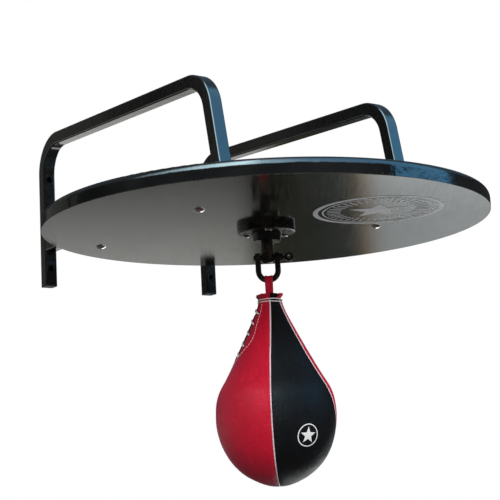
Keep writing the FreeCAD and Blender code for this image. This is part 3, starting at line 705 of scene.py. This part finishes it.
def lace_bar(drop_mm):
    """One flat bar of lace over the seam, its ends diving into the eyelets."""
    s = s_at_drop(drop_mm)
    bearing = seam_bearing(0, s)
    path = []
    steps = 22
    for i in range(steps + 1):
        share = 2 * i / steps - 1
        lift = 1.1 * MM + 0.9 * MM * cos(share * pi / 2) - 3.6 * MM * max(abs(share) - 0.84, 0) / 0.16
        path.append(tangent_point(bearing, s, (share * 7.6 + 3.0) * MM, share * 4.2 * MM, lift))
    half_width, half_thickness = 1.45 * MM, 0.65 * MM

    def flat(step):
        squeeze = 1 - 0.35 * max(abs(2 * step / steps - 1) - 0.7, 0) / 0.3
        ribs = 1 + 0.06 * cos(step * 2.6)
        return [(half_thickness * sin(a) * ribs, half_width * squeeze * cos(a) * (1 + 0.10 * cos(4 * a)))
                for a in (2 * pi * k / 14 for k in range(14))]

    normal = tangent_point(bearing, s, -6.6 * MM, 0, 5 * MM) - tangent_point(bearing, s, -6.6 * MM, 0, 0)
    return sweep(path, flat, start_side=normal)


def crossing(drop_from, drop_to):
    """A run of lace between two bars, under the leather and over the tongue."""
    path = []
    steps = 14
    for i in range(steps + 1):
        share = i / steps
        s = s_at_drop(drop_from + (drop_to - drop_from) * share)
        path.append(tangent_point(seam_bearing(0, s), s, (2 * share - 1) * 4.6 * MM, 0, -2.2 * MM))
    return sweep(path, round_section(0.8 * MM, 8))


bars = [lace_bar(drop) for drop in LACE_DROPS]
runs = [crossing(LACE_DROPS[k], LACE_DROPS[k + 1]) for k in range(len(LACE_DROPS) - 1)]
verts, faces = joined(bars + runs)
piece("lacing", verts, faces, "white_cord", ("bag_lace",))
verts, faces = joined([eyelet(side, drop) for side in (-1, 1) for drop in LACE_DROPS])
piece("eyelets", verts, faces, "black_leather")

# distance of the stitched outline from the laced seam, mm, by drop
STITCH_OUTLINE = ((7, 10.0), (9, 10.5), (23, 13.8), (37, 17.0), (48, 21.5), (57, 23.5), (64, 21.5),
                  (71, 17.0), (79, 9.5), (85, 2.6))


def stitches(side):
    """Short thread stitches round the lacing's reinforcement."""
    drops, reach = zip(*STITCH_OUTLINE)
    fine = np.linspace(drops[0], drops[-1], 400)
    across = np.interp(fine, drops, reach) * MM
    down = np.array([s_at_drop(d) for d in fine])
    walked = np.concatenate([[0], np.cumsum(np.hypot(np.diff(across), np.diff(down)))])
    pitch, length, steps = 4.4 * MM, 3.0 * MM, 6
    parts = []
    for n in range(int(walked[-1] / pitch)):
        path = []
        for k in range(steps + 1):
            at = n * pitch + length * k / steps
            s = float(np.interp(at, walked, down))
            right = side * float(np.interp(at, walked, across))
            lift = 0.28 * MM * sin(pi * k / steps) - 0.12 * MM
            path.append(tangent_point(seam_bearing(0, s), s, right, 0, lift))
        parts.append(sweep(path, round_section(0.5 * MM, 6)))
    return joined(parts)


verts, faces = joined([stitches(1), stitches(-1)])
piece("reinforcement_stitches", verts, faces, "white_cord",
      material=cord_fibre("pale_thread", (0.86, 0.52, 0.54), (0.74, 0.36, 0.38)))


def tongue():
    """The leather tongue behind the opening."""
    rows, columns = 60, 18
    verts = []
    for i in range(rows):
        s = s_at_drop(12 + 70 * i / (rows - 1))
        half = 8.5 * MM * sqrt(max(1 - (2 * abs(i / (rows - 1) - 0.5)) ** 6, 0.05))
        for k in range(columns):
            right = half * (2 * k / (columns - 1) - 1)
            verts.append(tangent_point(seam_bearing(0, s), s, right, 0, -LEATHER - 1.3 * MM))
    item = piece("tongue", verts, grid_faces(rows, columns), "black_leather", ("lace_tongue",))
    thicken(item, 1.0 * MM)


tongue()


# ---- neck: collar, tie, strap

def collar_part(name, slot, bearings, stands_for=()):
    """The ends of the gores above the tie, flared and ruffled."""
    parts = []
    rows = 16
    top = NECK_Z + 0.78 * (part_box("neck_collar")[1].z - NECK_Z)
    for start, end in bearings:
        columns = max(int((end - start) / 3), 6)
        sheet_verts = []
        for i in range(rows):
            share = i / (rows - 1)
            for k in range(columns + 1):
                bearing = start + (end - start) * k / columns
                turn = radians(bearing)
                fold = ripple_at(2.6 * cos(turn), 2.6 * sin(turn), 2.0)
                fine = ripple_at(7 * cos(turn), 7 * sin(turn), 5.0)
                waist = 13.6 + 0.6 * fine
                radius = waist + (4.8 + 1.3 * fold + 0.7 * fine) * share ** 1.2 - 0.4 * sin(pi * share)
                z = NECK_Z - 1.5 * MM + (top - NECK_Z + (0.3 + 0.9 * fold + 0.5 * fine) * MM) * share
                sheet_verts.append(around(bearing, radius * MM, z))
        parts.append((sheet_verts, grid_faces(rows, columns + 1)))
    verts, faces = joined(parts)
    item = piece(name, verts, faces, slot, stands_for)
    thicken(item, 1.5 * MM)
    edge = item.modifiers.new("edge", "BEVEL")
    edge.width = 0.35 * MM
    edge.segments = 2
    edge.limit_method = "ANGLE"
    apply_modifiers(item)
    item.data.shade_smooth()


collar_part("collar_red", "red_leather", ((-92.0, -0.8), (42.8, 171.2)), ("neck_collar",))
collar_part("collar_black", "black_leather", ((0.8, 41.2), (172.8, 266.4)), ("neck_collar",))


def tie_cord():
    """Laid cord wound round the neck, with a knot and two short tails at the back."""
    tie_low, tie_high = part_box("neck_tie")
    turns, steps = 2.25, 300
    knot_bearing = 165.0
    path = []
    for i in range(steps + 1):
        share = i / steps
        bearing = knot_bearing + 360 * turns * share
        z = tie_high.z - 0.7 * MM + (tie_low.z - tie_high.z + 1.4 * MM) * ease(share, 0.25, 0.8)
        z += 0.35 * MM * sin(radians(bearing * 2) + 1.0)
        path.append(around(bearing, 16.2 * MM + 0.6 * MM * share, z))
    wound = sweep(path, round_section(0.72 * MM, 12, 3, 0.13, 0.5))
    centre = around(knot_bearing, 17.8 * MM, (tie_low.z + tie_high.z) / 2)
    out = (around(knot_bearing, 1, 0) - AXIS).normalized()
    across = out.cross(UP)
    knot = []
    for i in range(90):
        t = 2 * pi * i / 90
        reach = (2 + cos(3 * t)) * 0.95 * MM
        knot.append(centre + across * reach * cos(2 * t) + UP * reach * sin(2 * t)
                    + out * 0.9 * MM * sin(3 * t))
    knot = sweep(knot, round_section(1.0 * MM, 10, 3, 0.12, 0.5), closed=True)
    tails = []
    for lean in (-1, 1):
        path = []
        for i in range(16):
            share = i / 15
            path.append(centre + across * lean * (1.5 + 3.5 * share) * MM + out * (0.8 + 0.6 * share) * MM
                        - UP * (1.0 + 12 * share - 2 * share * share) * MM)
        thickness = lambda i: (1.0 + 0.25 * ease(i, 11, 15)) * MM
        tails.append(sweep(path, round_section(thickness, 12, 3, 0.14, 0.5)))
    verts, faces = joined([wound, knot] + tails)
    piece("tie_cord", verts, faces, "white_cord", ("neck_tie",))


tie_cord()


def strap():
    """The leather strap saddled over the bow's bar, both falls running into the neck."""
    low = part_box("hanging_loop")[0]
    rock = Vector(JOINTS["bag_rock"]["pos_m"])
    bow_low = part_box("shackle_bow")[0].z
    bar_radius = 3.85 * MM
    bow_radius = rock.z - bow_low - bar_radius
    bar_z = rock.z - bow_radius
    thickness, width = 2.0 * MM, 11.0 * MM
    middle = bar_radius + 0.3 * MM + thickness / 2
    fall_steps, arc_steps = 26, 24
    track = []
    for i in range(fall_steps):
        track.append((-middle, low.z + (bar_z - low.z) * i / fall_steps))
    for i in range(arc_steps + 1):
        angle = pi * (1 - i / arc_steps)
        track.append((middle * cos(angle), bar_z + middle * sin(angle)))
    for i in range(fall_steps):
        track.append((middle, bar_z + (low.z - bar_z) * (i + 1) / fall_steps))
    across_steps = 17
    verts = []
    for step, (back, z) in enumerate(track):
        ahead = track[min(step + 1, len(track) - 1)]
        behind = track[max(step - 1, 0)]
        run = Vector((ahead[0] - behind[0], ahead[1] - behind[1])).normalized()
        outward = Vector((-run.y, run.x))
        crown = ease(z, bar_z - 4 * MM, bar_z + middle)
        pinch = 1 - 0.10 * (1 - ease(z, low.z + 2 * MM, bar_z - 4 * MM))
        for side in (1, -1):
            for k in range(across_steps):
                share = side * (2 * k / (across_steps - 1) - 1)
                x = share * width / 2 * pinch
                saddle = (bow_radius - sqrt(bow_radius ** 2 - x ** 2)) * crown
                edge = sqrt(max(1 - abs(share) ** 7, 0.0))
                off = side * thickness / 2 * (0.25 + 0.75 * edge)
                off += 0.12 * MM * ripple_at(x * 150, z * 90, back * 200)
                verts.append(AXIS + ALONG_PIN * x + BACKWARD * (back + outward.x * off)
                             + UP * (z + outward.y * off + saddle))
    around_count = 2 * across_steps
    faces = grid_faces(len(track), around_count, wrap=True) + end_faces(around_count, len(track))
    piece("strap_loop", verts, faces, "red_leather", ("hanging_loop",))


strap()


def lathe(profile, centre, axis_out, sides=48):
    """A turned form: (radius, along) pairs about an axis."""
    side = axis_out.orthogonal().normalized()
    other = axis_out.cross(side)
    verts = []
    for radius, along in profile:
        verts += [centre + (side * x + other * y) * radius + axis_out * along for x, y in circle(sides)]
    return verts, grid_faces(len(profile), sides, wrap=True) + end_faces(sides, len(profile))


def neck_plug():
    """The rolled leather washer the strap is sewn to, pinched inside the neck."""
    low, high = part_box("neck_filler")
    centre = AXIS + UP * low.z
    tall = (high.z - low.z) / MM
    outline = ((3, 0), (9.6, 0), (10.6, 0.8), (10.9, 3), (10.7, tall - 3), (10.2, tall - 1), (9.0, tall),
               (4.0, tall - 0.6), (0.6, tall - 1.0))
    verts, faces = lathe([(r * MM, z * MM) for r, z in outline], centre, UP)
    verts = [v + UP * (0.5 * MM * noise.noise(v * 300)) for v in verts]
    piece("neck_plug", verts, faces, "black_leather", ("neck_filler",))


neck_plug()


def inner_bladder():
    """The inflated rubber bladder inside the leather."""
    rows, columns = 120, 72
    verts = []
    first = s_at_drop(15)
    for i in range(rows):
        s = first + (SKIN_LENGTH - 1 * MM - first) * i / (rows - 1)
        verts += [off_outline(360 * k / columns, s, -5.0 * MM, 0.4 * MM) for k in range(columns)]
    faces = grid_faces(rows, columns, wrap=True) + end_faces(columns, rows)
    item = piece("air_bladder", verts, faces, "bladder_rubber", ("bladder",))


inner_bladder()


def valve():
    """The bladder's rubber valve: a low button with a needle hole."""
    s = s_at_drop(219)
    bearing = 122.0
    surface = skin(bearing, s)
    out = (skin(bearing, s, 5 * MM) - surface).normalized()
    outline = ((3.4, -3.0), (3.9, -2.4), (3.9, 0.1), (3.5, 0.5), (1.6, 0.55), (0.9, 0.3), (0.8, -1.6),
               (0.1, -1.7))
    verts, faces = lathe([(r * MM, z * MM) for r, z in outline], surface, out)
    piece("valve_button", verts, faces, "bladder_rubber", ("bladder_valve",))


valve()


# ---- printed mark on the bag

def bag_mark():
    """A generic mark: a five-point star in a thin ring."""
    s = s_at_drop(187)
    bearing = 31.0
    lift = 0.12 * MM
    ring = []
    ring_steps, ring_rows = 72, 4
    for radius in np.linspace(13.6 * MM, 15.0 * MM, ring_rows):
        ring += [tangent_point(bearing, s, radius * x, radius * y, lift) for x, y in circle(ring_steps)]
    parts = [(ring, grid_faces(ring_rows, ring_steps, wrap=True))]
    tips, levels = 5, 9
    outline = []
    for k in range(tips * 2):
        reach = 11.4 if k % 2 == 0 else 4.7
        angle = pi * k / tips - pi / 2
        outline.append((reach * cos(angle), reach * sin(angle)))
    edge = []
    for k in range(len(outline)):
        a, b = outline[k], outline[(k + 1) % len(outline)]
        for n in range(5):
            edge.append((a[0] + (b[0] - a[0]) * n / 5, a[1] + (b[1] - a[1]) * n / 5))
    star = []
    for level in range(levels):
        share = max(level / (levels - 1), 0.02)
        star += [tangent_point(bearing, s, x * share * MM, y * share * MM, lift) for x, y in edge]
    star_faces = grid_faces(levels, len(edge), wrap=True)
    star_faces.append(tuple(range(len(edge))))
    parts.append((star, star_faces))
    verts, faces = joined(parts)
    item = piece("bag_mark", verts, faces, "print_grey",
                 material=screen_print("bag_print", (0.82, 0.83, 0.83), 0.3))
    thicken(item, 0.1 * MM, 1.0)


bag_mark()


# ---- weld beads

def islands(mesh):
    """Lowest and highest corner of each separate lump of a mesh."""
    work = bmesh.new()
    work.from_mesh(mesh)
    bmesh.ops.remove_doubles(work, verts=work.verts, dist=1e-6)
    work.verts.ensure_lookup_table()
    unseen = set(range(len(work.verts)))
    lumps = []
    while unseen:
        stack = [unseen.pop()]
        members = []
        while stack:
            index = stack.pop()
            members.append(work.verts[index].co.copy())
            for edge in work.verts[index].link_edges:
                other = edge.other_vert(work.verts[index]).index
                if other in unseen:
                    unseen.remove(other)
                    stack.append(other)
        lumps.append((Vector(map(min, zip(*members))), Vector(map(max, zip(*members)))))
    work.free()
    return sorted(lumps, key=lambda lump: tuple(round(c, 5) for c in lump[0]))


def weld_bead(low, high, number):
    """A rippled bead that fills a wedge's box."""
    size = high - low
    order = sorted(range(3), key=lambda axis: size[axis])
    along = Vector([1.0 if axis == order[2] else 0.0 for axis in range(3)])
    middle = (low + high) / 2
    half_length = size[order[2]] / 2
    reach = 0.5 * (size[order[0]] + size[order[1]]) / 2
    steps = 46
    path = []
    for i in range(steps + 1):
        share = 2 * i / steps - 1
        jitter = Vector((ripple_at(i * 0.31, number, 0), ripple_at(i * 0.29, number, 4),
                         ripple_at(i * 0.33, number, 8))) * 0.22 * MM
        path.append(middle + along * share * half_length + jitter)

    def ripple(step):
        share = 2 * step / steps - 1
        end = sqrt(max(1 - abs(share) ** 8, 0.03))
        wave = (step * 0.36 + 0.15 * sin(step)) % 1.0
        radius = reach * 0.92 * end * (0.88 + 0.16 * wave)
        return [(radius * x, radius * y) for x, y in circle(12)]

    return sweep(path, ripple)


for side in ("left", "right"):
    node = side + "_weld_beads"
    parts = [weld_bead(low, high, n) for n, (low, high) in enumerate(islands(NODES[node].data))]
    verts, faces = joined(parts)
    piece(side + "_welds", verts, faces, "frame_paint", (node,), body="frame")


# ---- floor, light, camera

def floor():
    """A plain pale floor disc well below the bag."""
    level, reach, sides = -1.95, 4.5, 96
    mesh = bpy.data.meshes.new("floor")
    rim = [(reach * x, AXIS.y + reach * y, level) for x, y in circle(sides)]
    mesh.from_pydata(rim, [], [tuple(range(sides))])
    material, tree, shader, coords = new_material("pale_floor")
    grain = noise_of(tree, coords, 30, 4, 0.5)
    wire(tree, shader, Base_Color=blend_colour(tree, grain, (0.80, 0.80, 0.79), (0.84, 0.84, 0.83)))
    put(shader, Roughness=0.8)
    mesh.materials.append(material)
    item = bpy.data.objects.new("floor", mesh)
    item.visible_glossy = False
    item.visible_diffuse = False
    bpy.context.scene.collection.objects.link(item)


floor()


def between(tree, value, *marks):
    """1 between two soft edges: rises from marks 0 to 1, and falls from marks 2 to 3 if they are given."""
    smooth = {"interpolation_type": "SMOOTHSTEP"}
    share = remap(tree, value, marks[0], marks[1], **smooth)
    if len(marks) == 2:
        return share
    return calc(tree, "MULTIPLY", share, remap(tree, value, marks[2], marks[3], 1, 0, **smooth))


def mirrored_room(tree, across, ahead, height):
    """What glossy surfaces mirror: a bright sky high in front, blue to the right, a dim wall behind."""
    bearing = calc(tree, "ARCTAN2", across, calc(tree, "MULTIPLY", ahead, -1.0))
    bearing = calc(tree, "MULTIPLY", bearing, degrees(1))
    colour = ramp(tree, height, -1, 1, ((-1, (0.05, 0.05, 0.05)), (-0.12, (0.04, 0.04, 0.04)),
                                        (0.0, (0.03, 0.03, 0.03)), (0.5, (0.03, 0.032, 0.035)),
                                        (0.8, (0.5, 0.52, 0.55)), (1, (0.8, 0.82, 0.85))))
    brightest = 8.0
    sky = ramp(tree, bearing, -180, 180, (
        (-180, (0.01, 0.012, 0.014)), (-108, (0.01, 0.012, 0.014)), (-92, (0.22, 0.31, 0.36)),
        (-48, (0.76, 1.05, 1.15)), (-34, (0.26, 0.39, 0.48)), (-4, (0.09, 0.175, 0.25)),
        (32, (0.042, 0.115, 0.195)), (62, (0.045, 0.12, 0.19)), (84, (0.01, 0.02, 0.03)),
        (180, (0.01, 0.012, 0.014))))
    colour = blend_colour(tree, between(tree, height, 0.35, 0.5, 0.93, 1.05), colour,
                          scaled(tree, sky, brightest))
    window = calc(tree, "MULTIPLY", between(tree, bearing, 29.5, 32.5, 62, 74),
                  between(tree, height, 0.185, 0.23, 0.45, 0.6))
    colour = blend_colour(tree, window, colour, (0.30, 1.05, 1.85))
    # the wall behind, mirrored in the tubes' left faces
    slope = calc(tree, "DIVIDE", across, calc(tree, "MAXIMUM", ahead, 0.05))
    wall = ramp(tree, slope, -1.2, 0, ((-1.2, (0.015, 0.015, 0.013)), (-0.78, (0.02, 0.02, 0.02)),
                                       (-0.74, (0.10, 0.104, 0.092)), (-0.67, (0.12, 0.124, 0.11)),
                                       (-0.655, (0.012, 0.012, 0.01)), (-0.56, (0.02, 0.02, 0.018)),
                                       (-0.54, (0.10, 0.104, 0.092)), (0, (0.13, 0.135, 0.12))))
    low_behind = calc(tree, "MULTIPLY", between(tree, height, -0.02, 0.02, 0.42, 0.5),
                      between(tree, ahead, 0.25, 0.4))
    left_behind = calc(tree, "MULTIPLY", low_behind, between(tree, slope, 0.02, -0.02))
    colour = blend_colour(tree, left_behind, colour, wall)
    # light, a dark gap and mid grey from left to right, mirrored in the underside
    band = ramp(tree, slope, 0.3, 1.3, (
        (0.3, (0.80, 0.80, 0.77)), (0.62, (0.68, 0.68, 0.65)), (0.69, (0.60, 0.60, 0.57)),
        (0.715, (0.05, 0.048, 0.03)), (0.832, (0.03, 0.04, 0.04)), (0.845, (0.24, 0.16, 0.08)),
        (0.865, (0.46, 0.49, 0.49)), (1.3, (0.72, 0.76, 0.76))))
    # the light falls off towards the near edge of the underside
    left = remap(tree, height, -0.245, -0.165, 0.12, 1.02)
    right = remap(tree, height, -0.25, -0.226, 4.0, 1.05)
    level = add(tree, "Mix", {0: between(tree, slope, 0.70, 0.84), 2: left, 3: right}).outputs[0]
    under_behind = calc(tree, "MULTIPLY", between(tree, height, -0.02, -0.06),
                        between(tree, ahead, 0.3, 0.5))
    return blend_colour(tree, under_behind, colour, scaled(tree, band, level))


def studio_world():
    """White to the camera, soft neutral light, and a room for glossy surfaces to mirror."""
    world = bpy.data.worlds.new("studio")
    bpy.context.scene.world = world
    world.use_nodes = True
    tree = world.node_tree
    tree.nodes.clear()
    parts = add(tree, "SeparateXYZ", {0: add(tree, "TexCoord").outputs["Generated"]})
    across, ahead, height = parts.outputs
    soft = ramp(tree, height, -1, 1, ((-1, (0.10, 0.10, 0.10)), (-0.1, (0.24, 0.24, 0.25)),
                                      (0.1, (0.44, 0.45, 0.46)), (1, (0.85, 0.86, 0.88))))
    mirrored = mirrored_room(tree, across, ahead, height)
    rays = add(tree, "LightPath").outputs
    colour = blend_colour(tree, rays["Is Glossy Ray"], soft, mirrored)
    colour = blend_colour(tree, rays["Is Camera Ray"], colour, (1.0, 1.0, 1.0))
    lit = add(tree, "Background", {"Color": colour, "Strength": 1.0})
    output = tree.nodes.new("ShaderNodeOutputWorld")
    tree.links.new(lit.outputs[0], output.inputs["Surface"])


studio_world()


def soft_light(name, place, target, width, height, power, colour):
    """A rectangular softbox that faces a point."""
    data = bpy.data.lights.new(name, "AREA")
    data.shape = "RECTANGLE"
    data.size, data.size_y = width, height
    data.energy = power
    data.color = colour
    item = bpy.data.objects.new(name, data)
    item.location = place
    item.rotation_mode = "QUATERNION"
    item.rotation_quaternion = (Vector(target) - Vector(place)).to_track_quat("-Z", "Y")
    item.visible_glossy = False
    bpy.context.scene.collection.objects.link(item)


BAG_MIDDLE = AXIS + UP * ((NECK_Z + BOTTOM_Z) / 2)
soft_light("key", (-0.9, -2.6, 0.7), BAG_MIDDLE, 1.2, 1.2, 55, (1.0, 0.97, 0.95))
soft_light("fill", (1.6, -1.9, -0.1), BAG_MIDDLE, 0.9, 1.4, 10, (0.86, 0.93, 1.0))


def camera():
    """The camera at the photograph's viewing angle, looking up at the board's underside."""
    focal_pixels, frame_pixels, sensor = 1300.0, 500.0, 36.0
    azimuth, elevation, roll = (radians(a) for a in (-35.0, -10.28, -2.97))
    back = Vector((sin(azimuth) * cos(elevation), -cos(azimuth) * cos(elevation),
                   sin(elevation)))
    right = Vector((cos(azimuth), sin(azimuth), 0))
    up = back.cross(right)
    rolled_right = right * cos(roll) + up * sin(roll)
    rolled_up = up * cos(roll) - right * sin(roll)
    data = bpy.data.cameras.new("camera")
    data.sensor_width = sensor
    data.lens = focal_pixels / frame_pixels * sensor
    item = bpy.data.objects.new("camera", data)
    underside_centre = Vector((AXIS.x, AXIS.y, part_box("board_laminate")[0].z))
    item.location = underside_centre + Vector((-1.0233, -1.4205, -0.3484))
    item.rotation_mode = "QUATERNION"
    item.rotation_quaternion = Matrix((rolled_right, rolled_up, back)).transposed().to_quaternion()
    bpy.context.scene.collection.objects.link(item)
    bpy.context.scene.camera = item


camera()
bpy.context.scene.view_settings.view_transform = "Standard"

bpy.context.view_layer.update()
